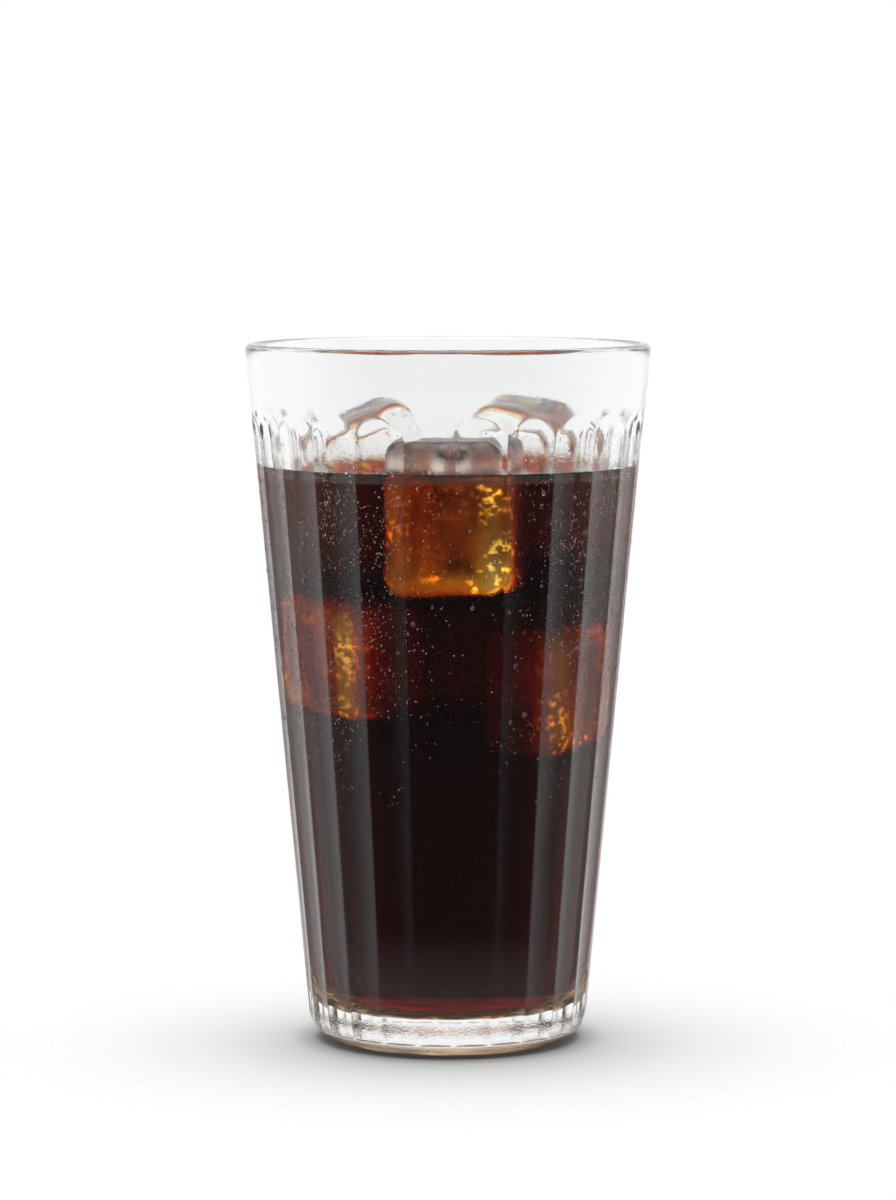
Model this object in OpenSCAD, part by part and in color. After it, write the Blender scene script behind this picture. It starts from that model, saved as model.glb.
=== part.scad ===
// Iced cold brew coffee in a tall fluted glass.
// The origin is at the middle of the underside and +Z points up the glass.
// The front of the glass, where one ice block stands against the wall, faces -Y.

/* [Glass] */
// Overall height of the glass
glass_h = 140; // [120:1:170]
// Outer diameter at the rim
rim_d = 81; // [76:0.5:100]
// Outer diameter where the wall runs into the rounded foot
foot_d = 56.3; // [46:0.1:68]
// Thickness of the wall at the rim
rim_wall = 2.4; // [2:0.1:3.4]
// Thickness of the wall at the foot
foot_wall = 3.2; // [2.6:0.1:4.4]
// Thickness of the solid bottom
bottom_t = 7.5; // [5:0.5:11]
// Radius of the rounded foot
foot_r = 6.3; // [4:0.1:7.5]
// Radius inside, where the wall runs into the bottom
well_r = 9; // [5:0.5:12]
// Width of the flat ring that the glass stands on
stand_w = 5; // [3:0.5:8]
// Depth of the hollow inside that ring
hollow_t = 0.6; // [0.3:0.1:1.2]

/* [Flutes] */
// Number of flutes round the glass
flute_count = 24; // [18:1:28]
// Depth of a flute below the straight line between its edges, at the rim
rim_flute = 0.6; // [0.4:0.05:0.8]
// The same depth at the foot
foot_flute = 0.34; // [0.2:0.02:0.4]
// Width of the ridge left between two flutes, at the rim
ridge_w = 0.45; // [0.3:0.05:1.5]
// Distance from the rim down to the arched tops of the flutes
flute_drop = 13.5; // [9:0.5:30]
// Bearing of the ridge nearest the front
flute_turn = -87.7; // [-97:0.1:-80]

/* [Coffee] */
// Distance from the rim down to the coffee
coffee_drop = 25.4; // [22:0.2:45]

/* [Ice] */
// Width and depth of an ice block
ice_w = 23.4; // [16:0.2:24]
// Height of an ice block
ice_h = 30.5; // [24:0.5:32]
// Rounding of the melted edges of an ice block
ice_edge = 4.2; // [2.5:0.1:6]
// Clearance between an ice block and the wall
ice_gap = 0.4; // [0.2:0.1:1]
// Clearance between the two back blocks
back_gap = 0.3; // [0.2:0.1:2]
// Where the two back blocks part, to the right of the glass's axis
back_x = 1.5; // [-2:0.1:3]
// Where the middle of the front block is, to the right of the glass's axis
front_x = 1.1; // [-3:0.1:3]
// Height of the front block's middle above the coffee
front_rise = -6.9; // [-9:0.1:-4]
// Height of the back left block's middle above the coffee
left_rise = -3.4; // [-6:0.1:0]
// Height of the back right block's middle above the coffee
right_rise = -1.3; // [-5:0.1:1]

/* [Hidden] */
// Clearance between the coffee and what it touches
seat = 0.1;
// How far a cutting shape runs past what it cuts
past = 1;
$fn = 96;

rim_r = rim_d / 2;
wall_r = foot_d / 2;
lip_r = rim_wall / 2;
// Height of the straight wall, the slope of its two sides and how far each leans
wall_h = glass_h - lip_r - foot_r;
wall_slope = (rim_r - wall_r) / wall_h;
wall_lean = atan(wall_slope);
inner_slope = wall_slope + (foot_wall - rim_wall) / wall_h;
inner_lean = atan(inner_slope);

// One flute's share of the turn, and half of it without its ridge
flute_pitch = 360 / flute_count;
flute_half = flute_pitch / 2 - ridge_w / rim_d * 180 / PI;

coffee_z = glass_h - coffee_drop;

// Each block's turn, its two leans and its rise
front_block = [-9, 4, 0, front_rise];
left_block = [8, 3, -22, left_rise];
right_block = [-14, -3, 7, right_rise];

// Inner radius of the glass at a height
function inner_r(z) = wall_r - foot_wall + (z - foot_r) * inner_slope;

// Points along an arc about a centre
function arc(centre, r, from, to, steps = 8) =
    [
        for (i = [0:steps])
            let (a = from + (to - from) * i / steps)
            centre + r * [cos(a), sin(a)]
    ];

// The cavity's half outline up to a height, kept clear of the glass by a gap
function cavity_outline(top_z, gap) =
    let (
        corner_z = bottom_t + well_r,
        corner = [inner_r(corner_z) - well_r / cos(inner_lean), corner_z]
    )
    concat(
        [[0, bottom_t + gap]],
        arc(corner, well_r - gap, -90, -inner_lean),
        [[inner_r(top_z) - gap / cos(inner_lean), top_z], [0, top_z]]
    );

// The glass in half outline: hollow underside, rounded foot, leaning wall and rounded lip
function glass_outline() =
    let (
        foot = [wall_r - foot_r / cos(wall_lean), foot_r],
        lip = [rim_r - lip_r, glass_h - lip_r],
        stand = foot[0] - stand_w,
        well = cavity_outline(glass_h - lip_r, 0)
    )
    concat(
        [[0, hollow_t], [stand - 2 * hollow_t, hollow_t], [stand, 0]],
        arc(foot, foot_r, -90, -wall_lean),
        arc(lip, lip_r, 0, 180, 12),
        [for (i = [len(well) - 3:-1:0]) well[i]]
    );

// Radius of a flute's cutter that leaves a flute of this depth on a wall of this radius
function cut_r(r, depth) = (pow(r * sin(flute_half), 2) + pow(depth, 2)) / (2 * depth);

// How far the cutter's axis stands from the glass's own
function cut_far(r, depth) = r * cos(flute_half) - depth + cut_r(r, depth);

// A flute: a leaning cone that the wall's surface cuts through, ending in an arch at the top
module flute() {
    low_far = cut_far(wall_r, foot_flute);
    high_far = cut_far(rim_r, rim_flute);
    rise = glass_h - foot_r;
    lean = atan((high_far - low_far) / rise);
    arch_r = rim_r * tan(flute_half) + ridge_w;
    arch_z = glass_h - flute_drop - arch_r;
    intersection() {
        translate([low_far, 0, foot_r])
            rotate([0, lean, 0])
                cylinder(
                    r1 = cut_r(wall_r, foot_flute) * cos(lean),
                    r2 = cut_r(rim_r, rim_flute) * cos(lean),
                    h = rise / cos(lean)
                );
        union() {
            translate([0, 0, arch_z])
                rotate([0, 90, 0])
                    cylinder(r = arch_r, h = rim_d);
            translate([0, ridge_w / 2 - arch_r, -past])
                cube([rim_d, 2 * arch_r - ridge_w, arch_z + past]);
        }
    }
}

module glass() {
    color([0.93, 0.95, 0.95, 0.35])
        difference() {
            rotate_extrude()
                polygon(glass_outline());
            for (i = [0:flute_count - 1])
                rotate([0, 0, flute_turn + (i + 0.5) * flute_pitch])
                    flute();
        }
}

// Where a block's rounded corners lie from its middle, after its turn and its leans
function turned(p, block) =
    let (
        a = [p[0], p[1] * cos(block[1]) - p[2] * sin(block[1]), p[1] * sin(block[1]) + p[2] * cos(block[1])],
        b = [a[0] * cos(block[2]) + a[2] * sin(block[2]), a[1], a[2] * cos(block[2]) - a[0] * sin(block[2])]
    )
    [b[0] * cos(block[0]) - b[1] * sin(block[0]), b[0] * sin(block[0]) + b[1] * cos(block[0]), b[2]];

function corners(block) =
    let (half = [ice_w, ice_w, ice_h] / 2 - ice_edge * [1, 1, 1])
    [for (x = [-1, 1], y = [-1, 1], z = [-1, 1]) turned([x * half[0], y * half[1], z * half[2]], block)];

// How far a block reaches to the side of its middle
function reach(block) = max([for (c = corners(block)) c[0]]) + ice_edge;

// How far back (side 1) or to the front (side -1) a block goes before a corner is ice_gap from the wall
function block_out(block, x, side) =
    min([
        for (c = corners(block))
            let (room = inner_r(coffee_z + block[3] + c[2]) - ice_gap - ice_edge)
            sqrt(pow(room, 2) - pow(x + c[0], 2)) - side * c[1]
    ]);

function block_at(block, x, side) = [x, side * block_out(block, x, side), coffee_z + block[3]];

// Where the blocks' middles are: the back ones stand either side of where they part
front_at = block_at(front_block, front_x, -1);
left_at = block_at(left_block, back_x - back_gap / 2 - reach(left_block), 1);
right_at = block_at(right_block, back_x + back_gap / 2 + reach(right_block), 1);

// An ice block with melted, rounded edges, grown by a gap where the coffee makes room for it
module ice_block(block, at, gap = 0) {
    translate(at)
        hull()
            for (c = corners(block))
                translate(c)
                    sphere(r = ice_edge + gap, $fn = 24);
}

module coffee() {
    color([0.16, 0.07, 0.04])
        difference() {
            rotate_extrude()
                polygon(cavity_outline(coffee_z, seat));
            ice_block(front_block, front_at, seat);
            ice_block(left_block, left_at, seat);
            ice_block(right_block, right_at, seat);
        }
}

module ice_front() {
    color([0.85, 0.8, 0.78])
        ice_block(front_block, front_at);
}

module ice_left() {
    color([0.85, 0.8, 0.78])
        ice_block(left_block, left_at);
}

module ice_right() {
    color([0.85, 0.8, 0.78])
        ice_block(right_block, right_at);
}

glass();
coffee();
ice_front();
ice_left();
ice_right();
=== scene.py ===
import math
import random

import bmesh
import bpy
from mathutils import Matrix, Vector, noise
from mathutils.bvhtree import BVHTree


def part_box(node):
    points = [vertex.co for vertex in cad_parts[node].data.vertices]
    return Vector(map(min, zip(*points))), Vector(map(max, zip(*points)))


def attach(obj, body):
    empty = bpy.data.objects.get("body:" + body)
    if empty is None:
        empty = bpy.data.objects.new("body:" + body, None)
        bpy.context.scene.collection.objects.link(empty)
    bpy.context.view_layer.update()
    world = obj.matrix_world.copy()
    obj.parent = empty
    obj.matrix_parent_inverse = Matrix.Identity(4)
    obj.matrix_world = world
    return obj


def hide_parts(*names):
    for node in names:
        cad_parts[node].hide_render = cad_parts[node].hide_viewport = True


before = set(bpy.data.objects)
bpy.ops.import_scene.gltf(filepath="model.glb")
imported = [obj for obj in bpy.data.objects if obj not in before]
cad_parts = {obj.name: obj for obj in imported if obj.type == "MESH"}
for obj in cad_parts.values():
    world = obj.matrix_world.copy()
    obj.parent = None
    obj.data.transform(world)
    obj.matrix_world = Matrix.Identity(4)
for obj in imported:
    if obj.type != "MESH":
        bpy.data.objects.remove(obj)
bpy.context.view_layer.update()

mm = 0.001
collection = bpy.context.scene.collection

glass = {
    "height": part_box("glass")[1].z,
    "rimRadius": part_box("glass")[1].x,
    "footRadius": 28.15 * mm,   # where the wall runs into the rounded foot
    "footRounding": 6.3 * mm,
    "rimWall": 2.4 * mm,
    "footWall": 3.2 * mm,
    "bottom": 7.5 * mm,
    "wellRounding": 9 * mm,
    "standWidth": 5 * mm,
    "hollow": 0.6 * mm,
    "flutes": 24,
    "rimFlute": 0.6 * mm,       # depth under the chord between two ridges
    "footFlute": 0.36 * mm,
    "ridge": 0.45 * mm,
    "ridgeBlend": 0.14 * mm,    # how softly a flute turns into its ridge
    "fluteDrop": 13.5 * mm,     # from the rim down to the arched tops
    "archStretch": 0.86,        # under 1 makes the arches rounder
    "firstRidge": -87.7,
    "ring": 2.8 * mm,           # the plain ring under the flutes
    "facetSteps": 16,           # faces across one flute
    "crowding": 0.72,           # how much they crowd towards the ridges
    "waviness": 0.035 * mm,
}


def footCentre():
    lean = wallLean()
    return glass["footRadius"] - glass["footRounding"] / math.cos(lean), glass["footRounding"]


def wallHeight():
    return glass["height"] - glass["rimWall"] / 2 - glass["footRounding"]


def wallLean():
    return math.atan((glass["rimRadius"] - glass["footRadius"]) / wallHeight())


def outerRadius(z):
    return glass["footRadius"] + (z - glass["footRounding"]) * math.tan(wallLean())


def innerSlope():
    return math.tan(wallLean()) + (glass["footWall"] - glass["rimWall"]) / wallHeight()


def innerRadius(z):
    return glass["footRadius"] - glass["footWall"] + (z - glass["footRounding"]) * innerSlope()


def mix(a, b, t):
    return a + (b - a) * t


def softStep(low, high, x):
    t = min(max((x - low) / (high - low), 0.0), 1.0)
    return t * t * (3 - 2 * t)


def arcPoints(cx, cz, radius, start, end, steps):
    turns = [math.radians(mix(start, end, i / steps)) for i in range(steps + 1)]
    return [(cx + radius * math.cos(a), cz + radius * math.sin(a)) for a in turns]


def linePoints(start, end, steps):
    # the points between two ends, without the ends
    shares = [i / steps for i in range(1, steps)]
    return [(mix(start[0], end[0], t), mix(start[1], end[1], t)) for t in shares]


def halfFlute():
    # half the turn from one ridge to the next, without the ridge
    return math.pi / glass["flutes"] - glass["ridge"] / (2 * glass["rimRadius"])


def cutterRadius(radius, depth):
    return ((radius * math.sin(halfFlute())) ** 2 + depth ** 2) / (2 * depth)


def cutterDistance(radius, depth):
    return radius * math.cos(halfFlute()) - depth + cutterRadius(radius, depth)


cutterEnds = {
    "footRadius": cutterRadius(glass["footRadius"], glass["footFlute"]),
    "rimRadius": cutterRadius(glass["rimRadius"], glass["rimFlute"]),
    "footDistance": cutterDistance(glass["footRadius"], glass["footFlute"]),
    "rimDistance": cutterDistance(glass["rimRadius"], glass["rimFlute"]),
}
pitch = 2 * math.pi / glass["flutes"]
topOverlap = cutterEnds["rimRadius"] - cutterEnds["rimDistance"] + glass["rimRadius"]
archHeight = math.sqrt(2 * cutterEnds["rimRadius"] * topOverlap) * glass["archStretch"]
archCentre = glass["height"] - glass["fluteDrop"] - archHeight


def softPositive(x, blend):
    # like max(x, 0), with a rounded corner
    return (x + math.sqrt(x * x + blend * blend)) / 2


def fluteDepth(angle, z):
    # how far the outside lies in from the plain wall, at a bearing and a height
    share = (z - glass["footRounding"]) / (glass["height"] - glass["footRounding"])
    radius = outerRadius(z)
    cut = mix(cutterEnds["footRadius"], cutterEnds["rimRadius"], share)
    far = mix(cutterEnds["footDistance"], cutterEnds["rimDistance"], share)
    turn = (angle - math.radians(glass["firstRidge"])) % pitch - pitch / 2
    over = max(0.0, z - archCentre) / glass["archStretch"]
    inside = cut ** 2 - over ** 2 - (far * math.sin(turn)) ** 2
    reached = far * math.cos(turn) - math.sqrt(inside) if inside > 0 else radius + cut
    depth = softPositive(radius - reached, glass["ridgeBlend"])
    plain = softPositive(-4 * mm, glass["ridgeBlend"])      # what it leaves far from any flute
    fade = softStep(glass["ring"] - 0.15 * mm, glass["ring"] + 0.15 * mm, z)
    return max(depth - plain, 0.0) * fade


def outside(angle, z):
    # a point of the fluted wall
    r = outerRadius(z) - fluteDepth(angle, z)
    return Vector((r * math.cos(angle), r * math.sin(angle), z))


def crowd(angle):
    # moves the steps of a spin towards the ridges
    first = math.radians(glass["firstRidge"])
    share = ((angle - first) % pitch) / pitch
    whole = (angle - first) // pitch
    share -= glass["crowding"] * math.sin(2 * math.pi * share) / (2 * math.pi)
    return first + (whole + share) * pitch


def newObject(bm, name, material):
    mesh = bpy.data.meshes.new(name)
    bm.to_mesh(mesh)
    bm.free()
    for face in mesh.polygons:
        face.use_smooth = True
    for m in (material if isinstance(material, list) else [material]):
        mesh.materials.append(m)
    made = bpy.data.objects.new(name, mesh)
    collection.objects.link(made)
    return made


def spinOutline(outline, steps):
    # a closed turned shape whose outline starts and ends on the axis or meets itself
    bm = bmesh.new()
    verts = [bm.verts.new((r, 0, z)) for r, z in outline]
    edges = [bm.edges.new(pair) for pair in zip(verts, verts[1:])]
    bmesh.ops.spin(
        bm, geom=verts + edges, cent=(0, 0, 0), axis=(0, 0, 1), dvec=(0, 0, 0),
        angle=2 * math.pi, steps=steps, use_merge=True,
    )
    bmesh.ops.remove_doubles(bm, verts=bm.verts[:], dist=0.002 * mm)
    return bm


def wobble(point, size, seed):
    return noise.noise(point / size + Vector((seed, seed * 1.7, -seed)))


coffee = {
    "level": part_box("coffee")[1].z,
    "reach": 0.25 * mm,         # how far it goes into the wall of the glass
    "wallRise": 1.3 * mm,       # the lip it draws up the glass
    "iceRise": 1.2 * mm,
    "riseLength": 1.3 * mm,
    "absorption": (0.933, 0.66, 0.02),
    "absorptionDensity": 1400.0,
}

ice = {
    "size": (23.4 * mm, 23.4 * mm, 30.5 * mm),
    "edge": 4.2 * mm,
    "cuts": 22,
    "melt": 0.55 * mm,
    "meltSize": 9 * mm,
    "inset": 0.12 * mm,         # the coffee's room for a block is this much smaller
    "edgeCloud": 0.5,           # how cloudy the edges are under the coffee, which also strengthens their painted glow
    "cloud": (0.05, 0.3),       # and the faces, clearest and cloudiest, likewise for their painted glow
    "scatter": 1.15,            # the painted glow of the cloudiest ice, standing in for the light it sends out again
    "glintGlow": 6.5,             # how much brighter its painted glints are
    "paintedGlowFade": (1 * mm, 8.5 * mm),  # from the wall to where the painted glow has faded out, standing in for where no light reaches
    "sunkPaintedGlow": 0.5,           # how much of the painted glow is left round the sunk blocks, as painted shade
    "sunkDepth": (88 * mm, 93 * mm),                    # the heights between which it fades
    "faceGlow": (1.0, 0.6, 0.15),                       # the painted glow's colour on the faces
    "edgeGlow": (1.0, 1.0, 0.4),
    "shore": 0.6,               # how cloudy the back blocks are just over the coffee
    "shoreHeight": 4.5 * mm,
    "frontFog": 0.26,
    "bubbles": 60,
    "bubbleSize": (0.12 * mm, 0.5 * mm),
}

mist = {
    "heights": (28 * mm, 55 * mm, 108 * mm, 124 * mm),  # from nothing to full, and back to nothing
    "roughness": (0.004, 0.025),
    "beads": (0.015, 0.24),     # how far its beads show, least and most
    "stippleTop": 7.5 * mm,     # the bottom of the glass is stippled up to here
    "stipple": 0.16,
}

refraction = {"glass": 1.5, "coffee": 1.333, "ice": 1.31, "water": 1.333, "airInIce": 0.763}
glassTint = (0.97, 0.975, 0.972)


def newMaterial(name):
    material = bpy.data.materials.new(name)
    material.use_nodes = True
    tree = material.node_tree
    tree.nodes.clear()
    out = tree.nodes.new("ShaderNodeOutputMaterial")
    shader = tree.nodes.new("ShaderNodeBsdfPrincipled")
    tree.links.new(shader.outputs["BSDF"], out.inputs["Surface"])
    return material, tree, shader, out


def makeClear(shader, colour, index):
    shader.inputs["Base Color"].default_value = (*colour, 1)
    shader.inputs["Transmission Weight"].default_value = 1.0
    shader.inputs["IOR"].default_value = index


def addNode(tree, kind, **values):
    node = tree.nodes.new(kind)
    for key, value in values.items():
        if key in node.inputs:
            node.inputs[key].default_value = value
        else:
            setattr(node, key, value)
    return node


def combine(tree, operation, *values):
    # a Math node fed with sockets and plain numbers
    node = addNode(tree, "ShaderNodeMath", operation=operation)
    for socket, value in zip(node.inputs, values):
        if isinstance(value, bpy.types.NodeSocket):
            tree.links.new(value, socket)
        else:
            socket.default_value = value
    return node.outputs["Value"]


def times(tree, a, b):
    return combine(tree, "MULTIPLY", a, b)


def scaled(tree, value, low, high, fromLow=0.0, fromHigh=1.0, soft=False):
    # moves a value from one range to another
    node = addNode(tree, "ShaderNodeMapRange", interpolation_type="SMOOTHSTEP" if soft else "LINEAR")
    node.inputs["From Min"].default_value = fromLow
    node.inputs["From Max"].default_value = fromHigh
    node.inputs["To Min"].default_value = low
    node.inputs["To Max"].default_value = high
    tree.links.new(value, node.inputs["Value"])
    return node.outputs["Result"]


def objectNoise(tree, scale, detail=3.0, stretch=(1, 1, 1)):
    place = addNode(tree, "ShaderNodeTexCoord")
    mapping = addNode(tree, "ShaderNodeMapping")
    mapping.inputs["Scale"].default_value = stretch
    tree.links.new(place.outputs["Object"], mapping.inputs["Vector"])
    grain = addNode(tree, "ShaderNodeTexNoise", Scale=scale, Detail=detail)
    tree.links.new(mapping.outputs["Vector"], grain.inputs["Vector"])
    return grain.outputs["Fac"]


def objectAxes(tree):
    # where a point is on the piece, as the sockets X, Y and Z
    place = addNode(tree, "ShaderNodeTexCoord")
    split = addNode(tree, "ShaderNodeSeparateXYZ")
    tree.links.new(place.outputs["Object"], split.inputs["Vector"])
    return split.outputs


def heightMask(tree, low, lowFull, highFull, high):
    # 0 below low and above high, 1 between the two full heights
    z = objectAxes(tree)["Z"]
    rise = scaled(tree, z, 0, 1, low, lowFull, soft=True)
    fall = scaled(tree, z, 1, 0, highFull, high, soft=True)
    return times(tree, rise, fall)


def bumpFrom(tree, shader, height, strength, distance):
    bump = addNode(tree, "ShaderNodeBump", Strength=strength, Distance=distance)
    tree.links.new(height, bump.inputs["Height"])
    tree.links.new(bump.outputs["Normal"], shader.inputs["Normal"])
    return bump


def aboveCoffee(tree):
    # 0 under the coffee's level and 1 above it
    z = objectAxes(tree)["Z"]
    return scaled(tree, z, 0, 1, coffee["level"] - 0.9 * mm, coffee["level"] - 0.4 * mm)


def depthInside(tree):
    # the distance in from the inner wall
    axes = objectAxes(tree)
    flat = addNode(tree, "ShaderNodeCombineXYZ")
    tree.links.new(axes["X"], flat.inputs["X"])
    tree.links.new(axes["Y"], flat.inputs["Y"])
    radius = addNode(tree, "ShaderNodeVectorMath", operation="LENGTH")
    tree.links.new(flat.outputs["Vector"], radius.inputs[0])
    wall = combine(tree, "MULTIPLY_ADD", axes["Z"], innerSlope(), innerRadius(0))
    return combine(tree, "SUBTRACT", wall, radius.outputs["Value"])


def wetTint(tree, shader, index):
    # two wet sides hardly reflect, except where light grazes them and can't get through
    fresnel = addNode(tree, "ShaderNodeFresnel", IOR=index)
    grazing = scaled(tree, fresnel.outputs["Fac"], 0.03, 1, 0.25, 0.8)
    tint = combine(tree, "MAXIMUM", grazing, aboveCoffee(tree))
    tree.links.new(tint, shader.inputs["Specular Tint"])


def makeGlassMaterial():
    # misted by fine beads of water in the middle, stippled at the bottom
    material, tree, shader, out = newMaterial("clearGlass")
    makeClear(shader, glassTint, refraction["glass"])
    patches = scaled(tree, objectNoise(tree, 90, 4), 0.15, 1.0, 0.36, 0.6)
    misted = times(tree, heightMask(tree, *mist["heights"]), patches)
    tree.links.new(scaled(tree, misted, *mist["roughness"]), shader.inputs["Roughness"])
    beads = scaled(tree, objectNoise(tree, 2300, 2), 0, 1, 0.45, 0.66)
    bump = bumpFrom(tree, shader, beads, 0.3, 0.16 * mm)
    bottom = heightMask(tree, -1 * mm, 0.0, mist["stippleTop"] - 2 * mm, mist["stippleTop"])
    stipple = scaled(tree, bottom, 0, mist["stipple"])
    strength = combine(tree, "MAXIMUM", scaled(tree, misted, *mist["beads"]), stipple)
    tree.links.new(strength, bump.inputs["Strength"])
    return material


def makeWettedMaterial():
    # the inside of the glass under the coffee hardly reflects, because both sides are wet
    material, tree, shader, out = newMaterial("wettedGlass")
    makeClear(shader, glassTint, refraction["glass"])
    wetTint(tree, shader, refraction["glass"])
    tree.links.new(scaled(tree, objectNoise(tree, 60), 0.0, 0.01), shader.inputs["Roughness"])
    return material


def makeCoffeeMaterial():
    # clear but for what it absorbs: blue first, red last
    material, tree, shader, out = newMaterial("coldBrew")
    makeClear(shader, (1, 1, 1), refraction["coffee"])
    wetTint(tree, shader, refraction["coffee"])
    tree.links.new(scaled(tree, objectNoise(tree, 40), 0.0, 0.01), shader.inputs["Roughness"])
    depth = addNode(tree, "ShaderNodeVolumeAbsorption", Density=coffee["absorptionDensity"])
    depth.inputs["Color"].default_value = (*coffee["absorption"], 1)
    tree.links.new(depth.outputs["Volume"], out.inputs["Volume"])
    return material


def paintedGlowInIce(tree, edge, cloud, axes):
    # painted glow standing in for the light scattered inside, with brighter painted glints along the
    # edges
    paintedGlints = scaled(tree, objectNoise(tree, 520, 4, (1, 1, 1.5)), 0.0, 1.0, 0.51, 0.68)
    zones = scaled(tree, objectNoise(tree, 120, 2), 0.0, 1.0, 0.43, 0.58)
    paintedGlints = times(tree, times(tree, paintedGlints, scaled(tree, edge, 0.04, 1.0)), zones)
    glowUnevenness = scaled(tree, objectNoise(tree, 75, 5, (1, 1, 0.6)), 0.10, 1.0, 0.38, 0.66)
    hazeGlow = times(tree, scaled(tree, cloud, 0.05, ice["scatter"], 0.05, 0.8), glowUnevenness)
    light = combine(tree, "MULTIPLY_ADD", paintedGlints, ice["glintGlow"], hazeGlow)
    # the painted glow is weaker further in and round the sunk blocks, as painted shade
    paintedGlowFade = scaled(tree, depthInside(tree), 1, 0.04, *ice["paintedGlowFade"])
    paintedGlowFade = times(tree, paintedGlowFade, scaled(tree, axes["Z"], ice["sunkPaintedGlow"], 1, *ice["sunkDepth"]))
    return times(tree, light, paintedGlowFade)


def glowColour(tree, edge):
    # the painted glow's colour: redder on the faces, golden along the edges
    glow = addNode(tree, "ShaderNodeCombineColor")
    for part, face, rim in zip(glow.inputs, ice["faceGlow"], ice["edgeGlow"]):
        tree.links.new(scaled(tree, edge, face, rim), part)
    return glow.outputs["Color"]


def shoreCloud(tree, axes):
    # the back blocks are cloudy just over the coffee
    top = coffee["level"] + ice["shoreHeight"]
    shore = scaled(tree, axes["Z"], ice["shore"], 0, coffee["level"], top)
    shore = times(tree, shore, scaled(tree, axes["Y"], 0, 1, 0, 6 * mm))
    return times(tree, shore, aboveCoffee(tree))


def makeIceMaterial():
    # clear above the coffee; under it, cloudy towards the edges, which pass the light on, and lit by a
    # painted glow with painted glints along the edges
    material, tree, shader, out = newMaterial("meltingIce")
    makeClear(shader, (0.98, 0.98, 0.98), refraction["ice"])
    wetTint(tree, shader, refraction["ice"])
    axes = objectAxes(tree)
    fogged = scaled(tree, axes["Y"], ice["frontFog"], 0.01, -8 * mm, -5 * mm)
    uneven = scaled(tree, objectNoise(tree, 200, 4), 0.6, 1.4)
    tree.links.new(times(tree, fogged, uneven), shader.inputs["Roughness"])
    bumpFrom(tree, shader, objectNoise(tree, 330, 4), 0.16, 0.5 * mm)
    edge = addNode(tree, "ShaderNodeAttribute", attribute_name="edge").outputs["Fac"]
    patches = scaled(tree, objectNoise(tree, 160, 5, (1, 1, 0.5)), 0.0, 1.0, 0.40, 0.66)
    cloud = combine(tree, "MULTIPLY_ADD", edge, ice["edgeCloud"], scaled(tree, patches, *ice["cloud"]))
    under = scaled(tree, aboveCoffee(tree), 1, 0.04)
    # under the coffee the ice glows with painted light, standing in for the light scattered inside
    light = times(tree, paintedGlowInIce(tree, edge, cloud, axes), under)
    tree.links.new(light, shader.inputs["Emission Strength"])
    tree.links.new(glowColour(tree, edge), shader.inputs["Emission Color"])
    material.cycles.emission_sampling = "NONE"          # the painted glow lights nothing else
    milk = addNode(tree, "ShaderNodeBsdfTranslucent")
    milk.inputs["Color"].default_value = (1, 0.94, 0.86, 1)
    milky = combine(tree, "MAXIMUM", times(tree, cloud, under), shoreCloud(tree, axes))
    blend = addNode(tree, "ShaderNodeMixShader")
    tree.links.new(milky, blend.inputs["Fac"])
    tree.links.new(shader.outputs["BSDF"], blend.inputs[1])
    tree.links.new(milk.outputs["BSDF"], blend.inputs[2])
    tree.links.new(blend.outputs["Shader"], out.inputs["Surface"])
    return material


def makeBubbleMaterial():
    # air inside the ice
    material, tree, shader, out = newMaterial("airBubbles")
    tree.nodes.remove(shader)
    air = addNode(tree, "ShaderNodeBsdfGlass", IOR=refraction["airInIce"])
    tree.links.new(scaled(tree, objectNoise(tree, 500), 0.0, 0.1), air.inputs["Roughness"])
    tree.links.new(air.outputs["BSDF"], out.inputs["Surface"])
    return material


def makeWaterMaterial():
    material, tree, shader, out = newMaterial("dew")
    makeClear(shader, (1, 1, 1), refraction["water"])
    tree.links.new(scaled(tree, objectNoise(tree, 400), 0.0, 0.03), shader.inputs["Roughness"])
    return material


def makeMistMaterial():
    # the finest drops, which catch light from every side
    material, tree, shader, out = newMaterial("fineMist")
    makeClear(shader, (0.9, 0.88, 0.88), refraction["water"])
    clarity = scaled(tree, objectNoise(tree, 300), 1.0, 0.95, 0.35, 0.65)
    tree.links.new(clarity, shader.inputs["Transmission Weight"])
    tree.links.new(scaled(tree, objectNoise(tree, 900), 0.0, 0.15), shader.inputs["Roughness"])
    return material


glassMaterial = makeGlassMaterial()
mistMaterial = makeMistMaterial()
wettedMaterial = makeWettedMaterial()
coffeeMaterial = makeCoffeeMaterial()
iceMaterial = makeIceMaterial()
bubbleMaterial = makeBubbleMaterial()
waterMaterial = makeWaterMaterial()
print("materials made")


def wellOutline(lift):
    # the inside from the axis out to where the wall starts, moved outwards into the glass by lift
    cornerHeight = glass["bottom"] + glass["wellRounding"]
    lean = math.atan(innerSlope())
    cx = innerRadius(cornerHeight) - glass["wellRounding"] / math.cos(lean)
    rounding = glass["wellRounding"] + lift
    arc = arcPoints(cx, cornerHeight, rounding, -90, -math.degrees(lean), 12)
    floorLine = linePoints((0, glass["bottom"] - lift), arc[0], 8)
    return [(0, glass["bottom"] - lift)] + floorLine + arc


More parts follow.
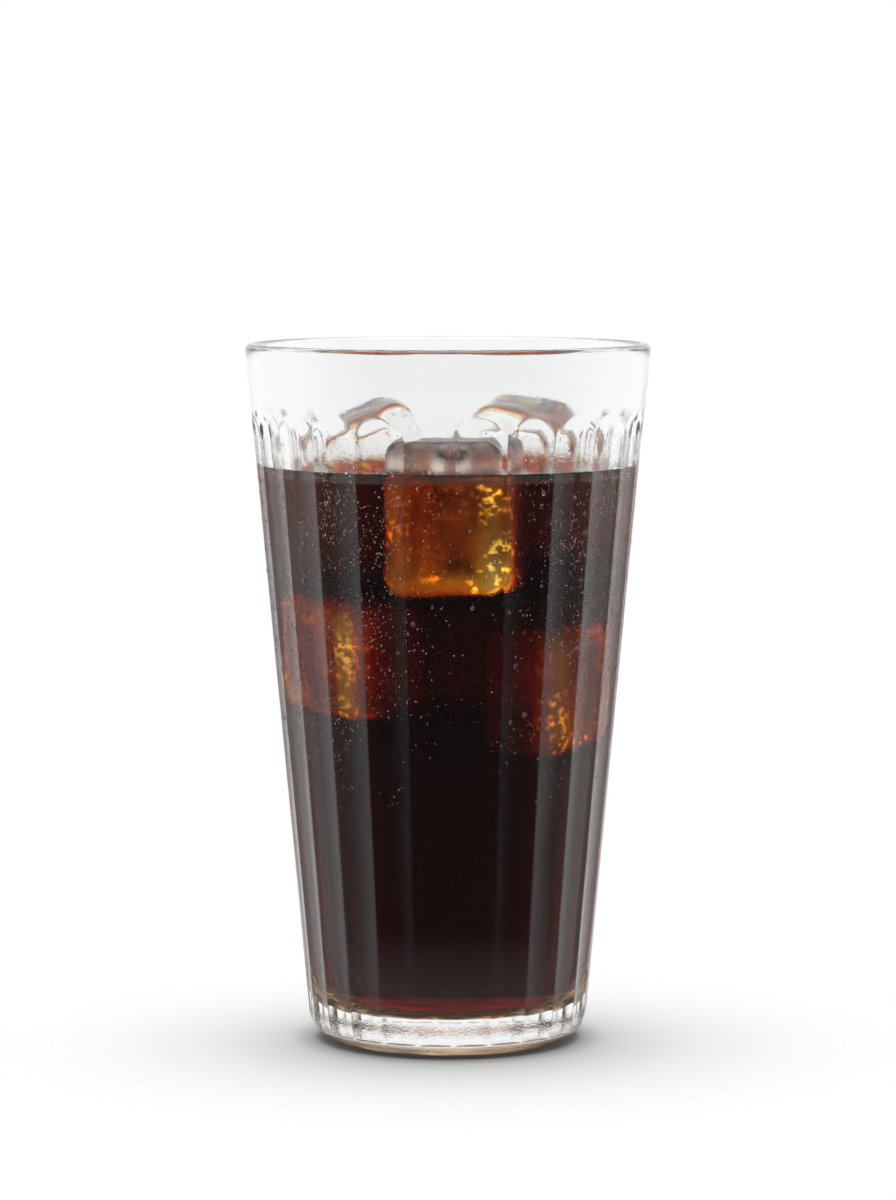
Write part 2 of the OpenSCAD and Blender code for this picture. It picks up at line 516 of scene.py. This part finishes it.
def glassOutline():
    lean = wallLean()
    cx, cz = footCentre()
    stand = cx - glass["standWidth"]
    hollow = glass["hollow"]
    lipRadius = glass["rimWall"] / 2
    ring = glass["ring"]
    # under the glass: hollow and standing ring
    points = [(0, hollow)] + linePoints((0, hollow), (stand - 2 * hollow, hollow), 26)
    points += [(stand - 2 * hollow, hollow), (stand - hollow, hollow * 0.6), (stand, 0)]
    points += linePoints((stand, 0), (cx, 0), 14)
    # the rounded foot, with close rows where the flutes end
    heights = [i * 0.35 * mm for i in range(0, 19)]
    heights += [ring + d * mm for d in (-0.2, -0.1, -0.03, 0.04, 0.11, 0.2)]
    topOfFoot = cz - glass["footRounding"] * math.sin(lean)
    for z in sorted(h for h in heights if h <= topOfFoot):
        points.append((cx + math.sqrt(glass["footRounding"] ** 2 - (cz - z) ** 2), z))
    points.append((outerRadius(topOfFoot), topOfFoot))
    # the wall, with close rows at the arches
    start = archCentre - 3 * mm
    end = glass["height"] - glass["fluteDrop"] + 2.5 * mm
    points += linePoints((outerRadius(topOfFoot), topOfFoot), (outerRadius(start), start), 28)
    points += [(outerRadius(mix(start, end, i / 34)), mix(start, end, i / 34)) for i in range(35)]
    lipFoot = glass["height"] - lipRadius
    points += linePoints((outerRadius(end), end), (glass["rimRadius"], lipFoot), 5)
    points += arcPoints(glass["rimRadius"] - lipRadius, lipFoot, lipRadius, 0, 180, 14)
    # down the inside
    well = wellOutline(0)
    inside = linePoints(points[-1], well[-1], 36)
    return points + inside + well[::-1]


def shapeGlass(bm):
    # cuts the flutes and makes the walls slightly uneven
    low, high = (0.5 * (innerRadius(z) + outerRadius(z)) for z in (0, glass["height"]))
    for v in bm.verts:
        r = math.hypot(v.co.x, v.co.y)
        z = v.co.z
        if r < 0.01 * mm:
            continue
        angle = crowd(math.atan2(v.co.y, v.co.x))
        isOuter = r > mix(low, high, z / glass["height"]) and z > 0.2 * mm
        isUnder = z < glass["hollow"] * 1.2 and r < footCentre()[0]
        if isOuter and z < glass["height"] - glass["fluteDrop"] + 6 * mm:
            r -= fluteDepth(angle, z)
        at = Vector((r * math.cos(angle), r * math.sin(angle), z))
        if z > 1.5 * mm and z < glass["height"] - 4 * mm:
            r += glass["waviness"] * wobble(at, 9 * mm, 3.1 if isOuter else 8.4)
            if not isOuter and z < glass["bottom"] + 0.5 * mm:
                z += 0.25 * mm * wobble(at, 5 * mm, 12.3)
        if isUnder and r > 4 * mm:
            fade = softStep(0, 0.3 * mm, abs(r - footCentre()[0]))
            z += 0.4 * mm * max(0.0, wobble(at, 1.3 * mm, 5.7)) * fade
        v.co = (r * math.cos(angle), r * math.sin(angle), z)


def makeGlass():
    bm = spinOutline(glassOutline(), glass["flutes"] * glass["facetSteps"])
    shapeGlass(bm)
    bmesh.ops.recalc_face_normals(bm, faces=bm.faces[:])
    wetTop = coffee["level"] + coffee["wallRise"] * 0.7
    for face in bm.faces:
        centre = face.calc_center_median()
        r = math.hypot(centre.x, centre.y)
        if glass["bottom"] - 1 * mm < centre.z < wetTop and r < innerRadius(centre.z) + 0.6 * mm:
            face.material_index = 1
    made = newObject(bm, "flutedGlass", [glassMaterial, wettedMaterial])
    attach(made, "root")
    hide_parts("glass")
    return made


glassPiece = makeGlass()
print("glass made:", len(glassPiece.data.polygons), "faces")


def boxCentre(node):
    low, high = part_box(node)
    return (low + high) / 2


# the blocks that stand out of the coffee, in degrees and millimetres
topBlocks = {
    "ice_front": {"turn": -9, "lean": (4, 0), "seed": 1.3, "hollow": (1.9, -11, 13.7)},
    "ice_left": {"turn": 8, "lean": (3, -22), "seed": 4.1},
    "ice_right": {"turn": -14, "lean": (-3, 7), "seed": 7.7, "slump": (4.0, 4.5)},
}
# the blocks under it: each is pushed out along its bearing until it nearly meets the wall
sunkBlocks = {
    "sunkIceLeft": {"bearing": -150, "height": 79.3, "size": (26, 17, 23), "lean": (4, 4), "seed": 11.2},
    "sunkIceRight": {"bearing": -28, "height": 73, "size": (22, 17, 25.5), "lean": (4, -6), "seed": 14.2},
    "sunkIceBack": {"bearing": 92, "height": 78, "size": (30, 19, 24), "lean": (4, 4), "seed": 17.2},
}


def slumped(at, size, slump):
    # how far the top has melted down: towards the front, and at the right end
    top = softStep(0.0, 0.5, at.z / size[2])
    front = max(0.0, 0.32 - at.y / size[1])
    return top * (slump[0] * front + slump[1] * softStep(0.12, 0.5, at.x / size[0])) * mm


def hollowed(at, hollow):
    # a slot melted into the front face
    if at.y >= -8 * mm:
        return Vector()
    across = (at.x - hollow[0] * mm) / (2.6 * mm)
    up = (at.z - hollow[2] * mm) / (1.3 * mm)
    return Vector((0, 0.8 * mm, -0.35 * mm)) * math.exp(-across ** 2 - up ** 2)


def blockMesh(size, block):
    # a rounded block, uneven where it has melted, with its edges marked
    bm = bmesh.new()
    edge = bm.verts.layers.float.new("edge")
    bmesh.ops.create_cube(bm, size=1)
    bmesh.ops.scale(bm, vec=size, verts=bm.verts[:])
    bmesh.ops.bevel(
        bm, geom=bm.edges[:] + bm.verts[:], offset=ice["edge"], segments=7, profile=0.5,
        affect="EDGES", material=-1, clamp_overlap=True,
    )
    crossing = [e for e in bm.edges if e.calc_length() > ice["edge"]]
    bmesh.ops.subdivide_edges(bm, edges=crossing, cuts=ice["cuts"], use_grid_fill=True)
    seed = block["seed"]
    for v in bm.verts:
        near = [abs(v.co[i]) - size[i] / 2 + ice["edge"] * 1.3 for i in range(3)]
        v[edge] = min(1.0, max(0.0, sorted(near)[1] / ice["edge"]))
        way = v.co.normalized()
        push = wobble(v.co, ice["meltSize"], seed) + 0.35 * wobble(v.co, ice["meltSize"] * 0.4, seed + 9)
        v.co.z -= slumped(v.co, size, block.get("slump", (0, 0)))
        v.co += way * (push - 0.45) * ice["melt"]
        if "hollow" in block:
            v.co += hollowed(v.co, block["hollow"])
    bmesh.ops.recalc_face_normals(bm, faces=bm.faces[:])
    return bm


def blockPlace(centre, turn, lean):
    sideways = Matrix.Rotation(math.radians(lean[1]), 4, "Y")
    forwards = Matrix.Rotation(math.radians(lean[0]), 4, "X")
    return Matrix.Translation(centre) @ Matrix.Rotation(math.radians(turn), 4, "Z") @ sideways @ forwards


def sunkCentre(block, size):
    height = block["height"] * mm
    room = innerRadius(height - size[2] / 2 + ice["edge"]) - 0.4 * mm - ice["edge"]
    out = math.sqrt(room ** 2 - (size[0] / 2 - ice["edge"]) ** 2) - size[1] / 2 + ice["edge"]
    a = math.radians(block["bearing"])
    return Vector((out * math.cos(a), out * math.sin(a), height))


def addBubbles(bm, place, size, rng):
    # small balls of air in a few clusters
    clusters = [Vector([rng.uniform(-0.3, 0.3) * s for s in size]) for i in range(4)]
    for i in range(ice["bubbles"]):
        middle = rng.choice(clusters)
        at = Vector([middle[k] + rng.gauss(0, 0.07) * size[k] for k in range(3)])
        at = Vector([max(-0.4 * size[k], min(0.4 * size[k], at[k])) for k in range(3)])
        radius = mix(*ice["bubbleSize"], rng.random() ** 3)
        where = place @ Matrix.Translation(at)
        bmesh.ops.create_icosphere(bm, subdivisions=1, radius=radius, matrix=where)


def makeBlock(name, block, size, place, air, rng):
    bm = blockMesh(size, block)
    bmesh.ops.transform(bm, matrix=place, verts=bm.verts[:])
    addBubbles(air, place, size, rng)
    made = newObject(bm, name, iceMaterial)
    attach(made, "root")
    return made


def makeIce():
    blocks = []
    air = bmesh.new()
    rng = random.Random(21)
    for name, block in topBlocks.items():
        place = blockPlace(boxCentre(name), block["turn"], block["lean"])
        made = makeBlock(name + "_block", block, ice["size"], place, air, rng)
        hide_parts(name)
        blocks.append(made)
    for name, block in sunkBlocks.items():
        size = [s * mm for s in block["size"]]
        place = blockPlace(sunkCentre(block, size), block["bearing"] + 90, block["lean"])
        blocks.append(makeBlock(name, block, size, place, air, rng))
    bubbles = newObject(air, "iceBubbles", bubbleMaterial)
    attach(bubbles, "root")
    return blocks


iceBlocks = makeIce()
print("ice made:", [len(b.data.polygons) for b in iceBlocks])


def coffeeOutline():
    level = coffee["level"]
    well = wellOutline(coffee["reach"])
    edge = (innerRadius(level) + coffee["reach"], level)
    wall = linePoints(well[-1], edge, 40) + [edge]
    rings = 44
    top = [(edge[0] * (1 - i / rings) ** 1.1, level) for i in range(1, rings + 1)]
    return well + wall + top


def roomFor(piece):
    # a block's own mesh, a little smaller
    bm = bmesh.new()
    bm.from_mesh(piece.data)
    bm.normal_update()
    for v, normal in [(v, v.normal.copy()) for v in bm.verts]:
        v.co -= normal * ice["inset"]
    return newObject(bm, piece.name + "Room", coffeeMaterial)


def cutRoom(piece, room):
    cut = piece.modifiers.new("cut", "BOOLEAN")
    cut.operation = "DIFFERENCE"
    cut.solver = "MANIFOLD"
    cut.object = room
    with bpy.context.temp_override(object=piece, active_object=piece):
        bpy.ops.object.modifier_apply(modifier="cut")
    bpy.data.objects.remove(room)


def raiseEdges(piece):
    # the coffee climbs where it meets the glass and the ice
    bm = bmesh.new()
    bm.from_mesh(piece.data)
    level = coffee["level"]
    trees = []
    for block in iceBlocks[:len(topBlocks)]:
        points = [v.co for v in block.data.vertices]
        trees.append(BVHTree.FromPolygons(points, [p.vertices for p in block.data.polygons]))
    for v in bm.verts:
        if v.co.z < level - 0.05 * mm:
            continue
        r = math.hypot(v.co.x, v.co.y)
        fromWall = max(innerRadius(level) - r, 0.0)
        rise = coffee["wallRise"] * math.exp(-fromWall / coffee["riseLength"])
        for tree in trees:
            fromIce = max(tree.find_nearest(v.co)[3] - ice["inset"], 0)
            rise = max(rise, coffee["iceRise"] * math.exp(-fromIce / coffee["riseLength"]))
        v.co.z += rise
        if r > innerRadius(level):
            # the lip leans out with the wall
            out = (innerRadius(level + rise) + coffee["reach"]) / r
            v.co.x *= out
            v.co.y *= out
    for edge in bm.edges:
        if len(edge.link_faces) == 2 and edge.calc_face_angle(0) > math.radians(40):
            edge.smooth = False
    bm.to_mesh(piece.data)
    bm.free()


def makeCoffee():
    bm = spinOutline(coffeeOutline(), 240)
    bmesh.ops.recalc_face_normals(bm, faces=bm.faces[:])
    made = newObject(bm, "coldBrewCoffee", coffeeMaterial)
    for block in iceBlocks:
        cutRoom(made, roomFor(block))
    raiseEdges(made)
    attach(made, "root")
    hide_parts("coffee")
    return made


coffeePiece = makeCoffee()
print("coffee made:", len(coffeePiece.data.polygons), "faces")

dew = {
    "fineCount": 15000,
    "fineSize": (0.1 * mm, 0.27 * mm),
    "dropCount": 700,
    "dropSize": (0.16 * mm, 0.42 * mm),
    "low": 40 * mm,
    "thickFrom": 96 * mm,
    "thinFrom": 110 * mm,
    "high": 124 * mm,
    "patchSize": 14 * mm,
    "stretch": (1.0, 1.35),     # how much taller than wide a drop is
    "thickness": (0.45, 0.65),  # as a share of its width
    "sink": 0.12,               # how far into the wall its middle lies
    "frontGap": 0.9,            # how much of it is missing at the front
    "frontBearing": -84,
    "frontWidth": 30,
}


def dewLikely(angle, z):
    # thick in patches near the coffee's level, thin low down, near the rim and at the front
    height = softStep(dew["low"], dew["thickFrom"], z)
    height *= 1 - 0.75 * softStep(dew["thinFrom"], dew["high"], z)
    at = Vector((math.cos(angle) * 3, math.sin(angle) * 3, z / dew["patchSize"]))
    patch = 0.5 + 0.9 * noise.noise(at)
    off = (math.degrees(angle) - dew["frontBearing"]) / dew["frontWidth"]
    return height * max(patch, 0.05) * (1 - dew["frontGap"] * math.exp(-off ** 4))


def asLists(bm):
    # a shape's points and faces, to be copied many times
    bm.verts.index_update()
    points = [v.co.copy() for v in bm.verts]
    faces = [[v.index for v in f.verts] for f in bm.faces]
    bm.free()
    return points, faces


def dropShape(detail):
    bm = bmesh.new()
    bmesh.ops.create_icosphere(bm, subdivisions=detail, radius=1)
    return asLists(bm)


def grainShape():
    # a point pushed out of each side of a square
    bm = bmesh.new()
    bmesh.ops.create_circle(bm, segments=4, radius=1, cap_ends=True)
    bmesh.ops.poke(bm, faces=bm.faces[:])
    top = max(bm.verts, key=lambda v: len(v.link_faces))
    rim = [e for e in bm.edges if e.is_boundary]
    low = bm.verts.new((0, 0, -1))
    for e in rim:
        bm.faces.new((e.verts[0], e.verts[1], low))
    top.co.z = 1
    bmesh.ops.recalc_face_normals(bm, faces=bm.faces[:])
    return asLists(bm)


def dropPlace(angle, z, sizes, rng):
    # flat against the wall, a little sunk into it
    across = outside(angle + 0.004, z) - outside(angle - 0.004, z)
    up = outside(angle, z + 0.5 * mm) - outside(angle, z - 0.5 * mm)
    normal = across.cross(up).normalized()
    size = mix(*sizes, rng.random() ** 2.2)
    turn = normal.to_track_quat("Z", "Y").to_matrix().to_4x4()
    spin = Matrix.Rotation(rng.uniform(-0.5, 0.5), 4, "Z")
    long = size * rng.uniform(*dew["stretch"])
    thick = size * rng.uniform(*dew["thickness"])
    squash = Matrix.Diagonal((size, long, thick, 1))
    return Matrix.Translation(outside(angle, z) - normal * size * dew["sink"]) @ turn @ spin @ squash


def scatter(count, sizes, shape, name, material, seed):
    rng = random.Random(seed)
    points, faces = [], []
    placed = 0
    while placed < count:
        angle = rng.uniform(-math.pi, math.pi)
        z = rng.uniform(dew["low"], dew["high"])
        if rng.random() > dewLikely(angle, z):
            continue
        place = dropPlace(angle, z, sizes, rng)
        first = len(points)
        points += [place @ p for p in shape[0]]
        faces += [[first + i for i in face] for face in shape[1]]
        placed += 1
    mesh = bpy.data.meshes.new(name + "Points")
    mesh.from_pydata(points, [], faces)
    bm = bmesh.new()
    bm.from_mesh(mesh)
    bpy.data.meshes.remove(mesh)
    made = newObject(bm, name, material)
    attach(made, "root")
    return made


fineDew = scatter(dew["fineCount"], dew["fineSize"], grainShape(), "fineDew", mistMaterial, 11)
dewDrops = scatter(dew["dropCount"], dew["dropSize"], dropShape(2), "dewDrops", waterMaterial, 12)
print("dew made:", len(fineDew.data.polygons), len(dewDrops.data.polygons))

studio = {
    "floorRadius": 0.9,
    "floorTone": 0.8,
    "paintedShadowTone": 0.5,          # its painted shadow tone where the glass keeps the light off it
    "paintedShadowSpan": (25 * mm, 32 * mm),                       # the painted shadow fades from under the glass to out in the light
    "floorFade": (30 * mm, 100 * mm),
    "backdrop": 1.0,
    "frontCard": 0.09,          # the dark card that stands round the camera
    "cardWidth": (46, 108),     # degrees from its middle to where it fades out
    "cardTurn": 6,              # how far its middle stands to the right of the camera
    "cardFade": 0.5,            # how much less it shows through the glass than in it
    "topLight": 10.0,
    "topLightSize": 1.0,
    "topLightHeight": 1.1,
    "cameraDistance": 0.928,
    "cameraHeight": 0.1729,
    "cameraPitch": 5.2,
    "lens": 139.3,
}


def makeFloor():
    # pale round the glass, with a painted shadow right under it, and clear further out, where the white
    # studio takes over
    bm = bmesh.new()
    bmesh.ops.create_circle(bm, cap_ends=True, segments=96, radius=studio["floorRadius"])
    material, tree, shader, out = newMaterial("paleFloor")
    shader.inputs["Roughness"].default_value = 0.9
    place = addNode(tree, "ShaderNodeTexCoord")
    length = addNode(tree, "ShaderNodeVectorMath", operation="LENGTH")
    tree.links.new(place.outputs["Object"], length.inputs[0])
    clear = addNode(tree, "ShaderNodeBsdfTransparent")
    blend = addNode(tree, "ShaderNodeMixShader")
    fade = scaled(tree, length.outputs["Value"], 0.0, 1.0, *studio["floorFade"])
    # painted shadow: the floor's colour is darker right under the glass, where little light reaches it
    shade = addNode(tree, "ShaderNodeCombineColor", mode="HSV")
    tones = studio["paintedShadowTone"], studio["floorTone"]
    paintedShadowFloor = scaled(tree, length.outputs["Value"], *tones, *studio["paintedShadowSpan"])
    tree.links.new(paintedShadowFloor, shade.inputs[2])
    tree.links.new(shade.outputs["Color"], shader.inputs["Base Color"])
    tree.links.new(fade, blend.inputs["Fac"])
    tree.links.new(shader.outputs["BSDF"], blend.inputs[1])
    tree.links.new(clear.outputs["BSDF"], blend.inputs[2])
    tree.links.new(blend.outputs["Shader"], out.inputs["Surface"])
    made = newObject(bm, "floor", material)
    return made


def makeWorld():
    # white all round, with a dark card where the camera stands
    world = bpy.data.worlds.new("studio")
    bpy.context.scene.world = world
    world.use_nodes = True
    tree = world.node_tree
    tree.nodes.clear()
    out = tree.nodes.new("ShaderNodeOutputWorld")
    sky = tree.nodes.new("ShaderNodeBackground")
    place = addNode(tree, "ShaderNodeTexCoord")
    away = addNode(tree, "ShaderNodeVectorMath", operation="DOT_PRODUCT")
    tree.links.new(place.outputs["Generated"], away.inputs[0])
    turn = math.radians(studio["cardTurn"])
    away.inputs[1].default_value = (-math.sin(turn), math.cos(turn), 0)
    near, far = (-math.cos(math.radians(a)) for a in studio["cardWidth"])
    tones = studio["frontCard"], studio["backdrop"]
    card = scaled(tree, away.outputs["Value"], *tones, near, far, soft=True)
    sky.inputs["Color"].default_value = (1, 1, 1, 1)
    # looked at straight the studio is plain white, and through the glass the card half shows
    ray = addNode(tree, "ShaderNodeLightPath")
    through = scaled(tree, ray.outputs["Is Transmission Ray"], 0, studio["cardFade"])
    direct = combine(tree, "MAXIMUM", ray.outputs["Is Camera Ray"], through)
    strength = addNode(tree, "ShaderNodeMix")
    tree.links.new(direct, strength.inputs["Factor"])
    tree.links.new(card, strength.inputs["A"])
    strength.inputs["B"].default_value = studio["backdrop"]
    tree.links.new(strength.outputs["Result"], sky.inputs["Strength"])
    tree.links.new(sky.outputs["Background"], out.inputs["Surface"])


def makeTopLight():
    data = bpy.data.lights.new("topLight", "AREA")
    data.shape = "DISK"
    data.size = studio["topLightSize"]
    data.energy = studio["topLight"]
    lamp = bpy.data.objects.new("topLight", data)
    lamp.location = (0, 0, studio["topLightHeight"])
    collection.objects.link(lamp)


def makeCamera():
    data = bpy.data.cameras.new("camera")
    data.lens = studio["lens"]
    data.sensor_width = 36
    data.clip_start = 0.01
    camera = bpy.data.objects.new("camera", data)
    camera.location = (0, -studio["cameraDistance"], studio["cameraHeight"])
    camera.rotation_euler = (math.radians(90 - studio["cameraPitch"]), 0, 0)
    collection.objects.link(camera)
    bpy.context.scene.camera = camera


makeFloor()
makeWorld()
makeTopLight()
makeCamera()
scene = bpy.context.scene
scene.view_settings.view_transform = "Standard"
scene.cycles.max_bounces = 26
scene.cycles.transmission_bounces = 26
scene.cycles.transparent_max_bounces = 16
scene.cycles.glossy_bounces = 12
scene.cycles.diffuse_bounces = 6
print("studio made")
